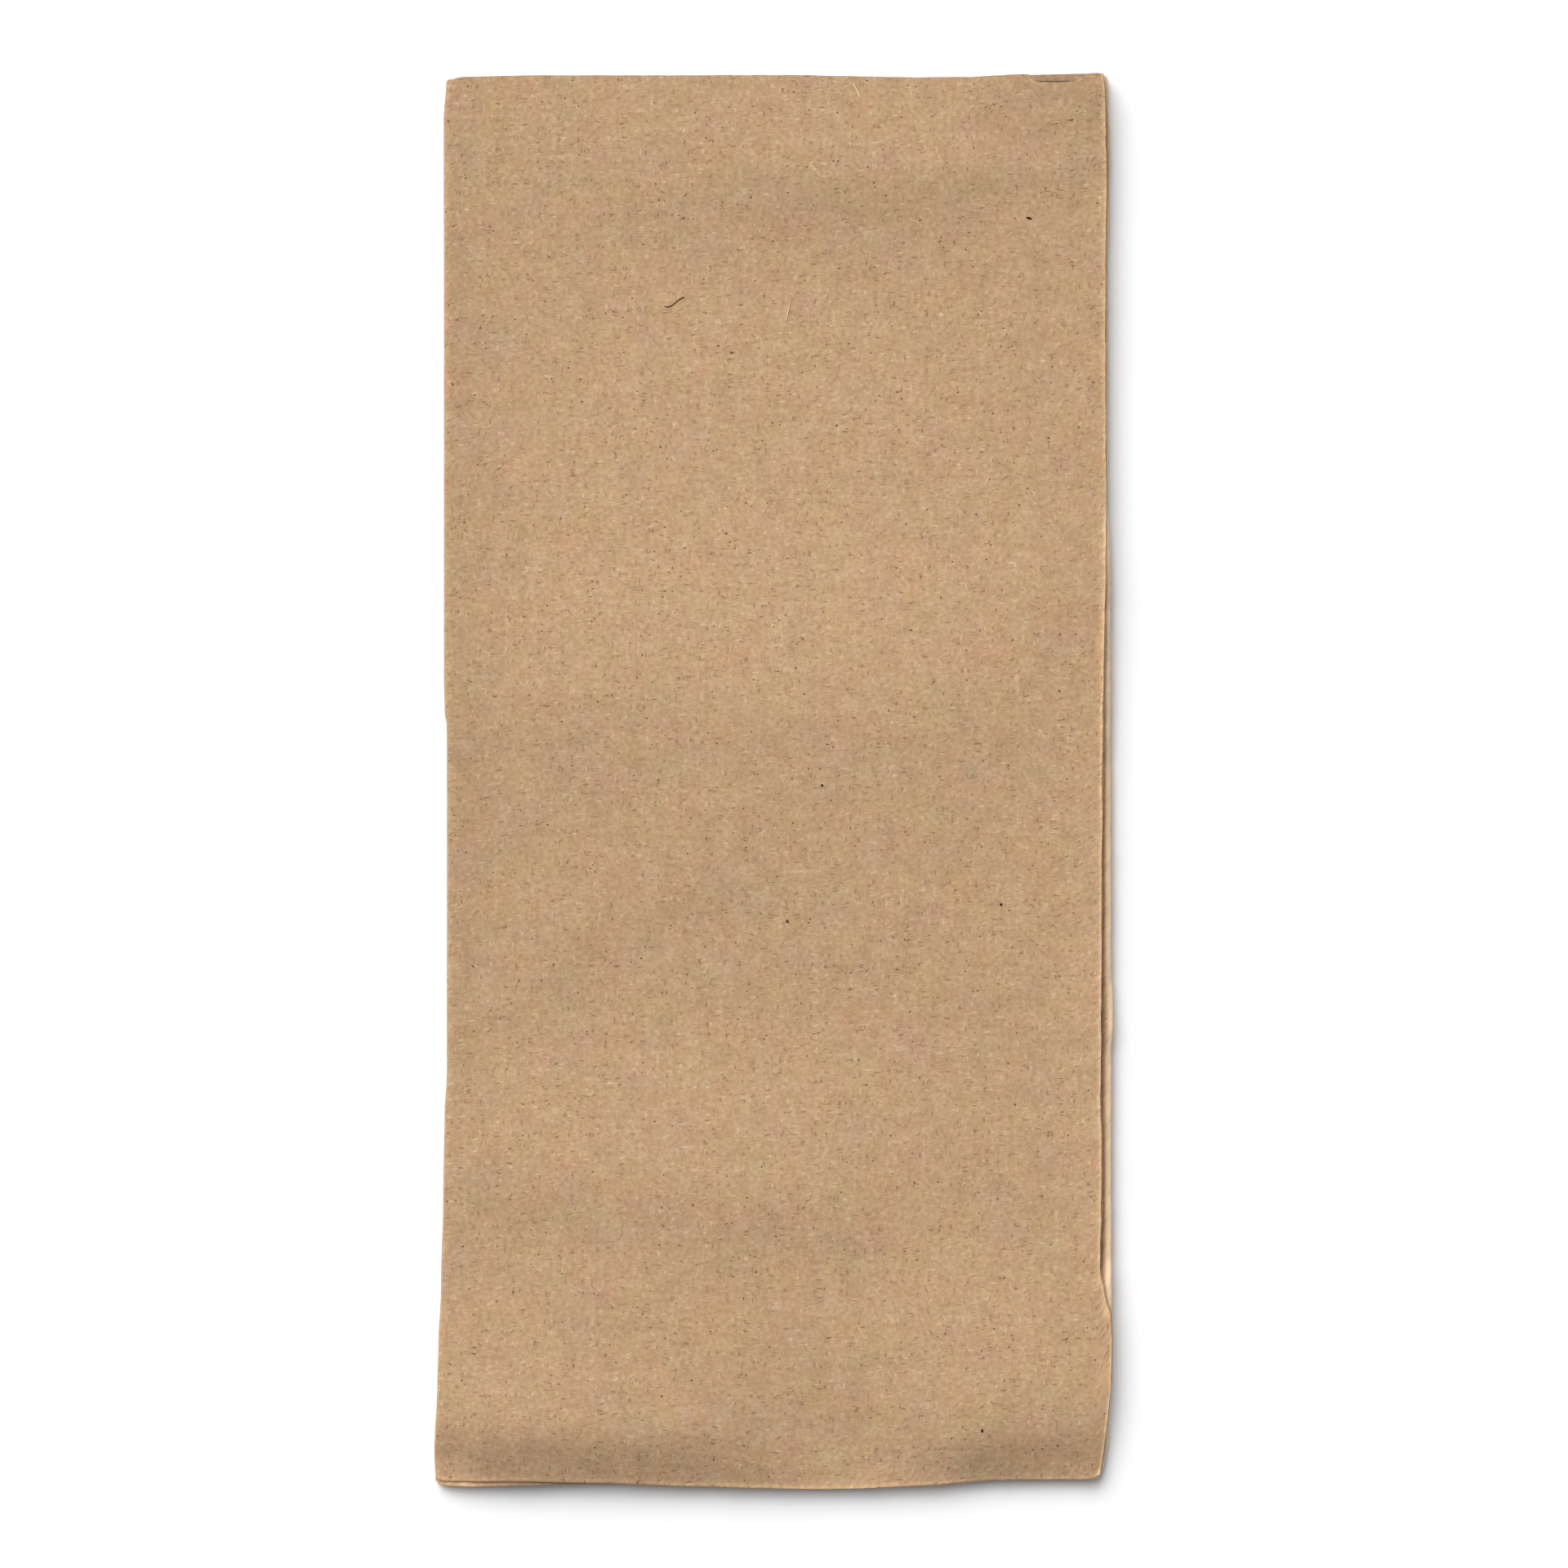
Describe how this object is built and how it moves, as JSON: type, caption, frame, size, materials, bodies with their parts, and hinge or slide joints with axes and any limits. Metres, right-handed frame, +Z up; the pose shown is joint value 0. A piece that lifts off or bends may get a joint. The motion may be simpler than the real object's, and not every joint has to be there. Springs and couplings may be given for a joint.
{
  "type": "paper napkin",
  "caption": "Natural brown tissue napkin, folded lengthwise, across and lengthwise again into a long flat rectangle with rounded folds and open cut edges.",
  "frame": {"origin": "middle of the underside of the folded napkin, on the surface that it lies on", "axes": "+Y along the length, from the cross fold to the cut edges; +X across the width, from the last fold to the open seam; +Z up through the layers"},
  "size_m": [0.1024, 0.216, 0.003],
  "materials": {
    "kraft_tissue": "matte"
  },
  "bodies": {
    "root": {"napkin_sheet": "kraft_tissue"}
  },
  "joints": []
}
